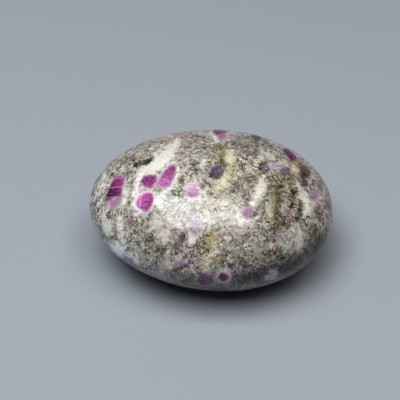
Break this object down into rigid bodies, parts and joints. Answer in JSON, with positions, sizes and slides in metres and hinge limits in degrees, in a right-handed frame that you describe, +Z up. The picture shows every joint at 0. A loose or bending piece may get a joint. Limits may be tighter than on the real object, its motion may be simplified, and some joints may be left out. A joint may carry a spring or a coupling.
{
  "type": "ruby in albite palm stone",
  "caption": "Egg-like polished pebble of speckled white and grey rock with violet ruby crystals grown through it, lying on a small flat spot.",
  "frame": {"origin": "under the middle of the stone, on the plane of its flat spot", "axes": "+X along the stone's length towards its blunter end, +Y across its width, +Z up from the flat spot to the crown"},
  "size_m": [0.065, 0.051, 0.034],
  "materials": {
    "polished_stone": "high polish over fine speckled white, grey and olive rock with violet crystals, with small dull pits"
  },
  "bodies": {
    "root": {"palm_stone": "polished_stone"}
  },
  "joints": []
}
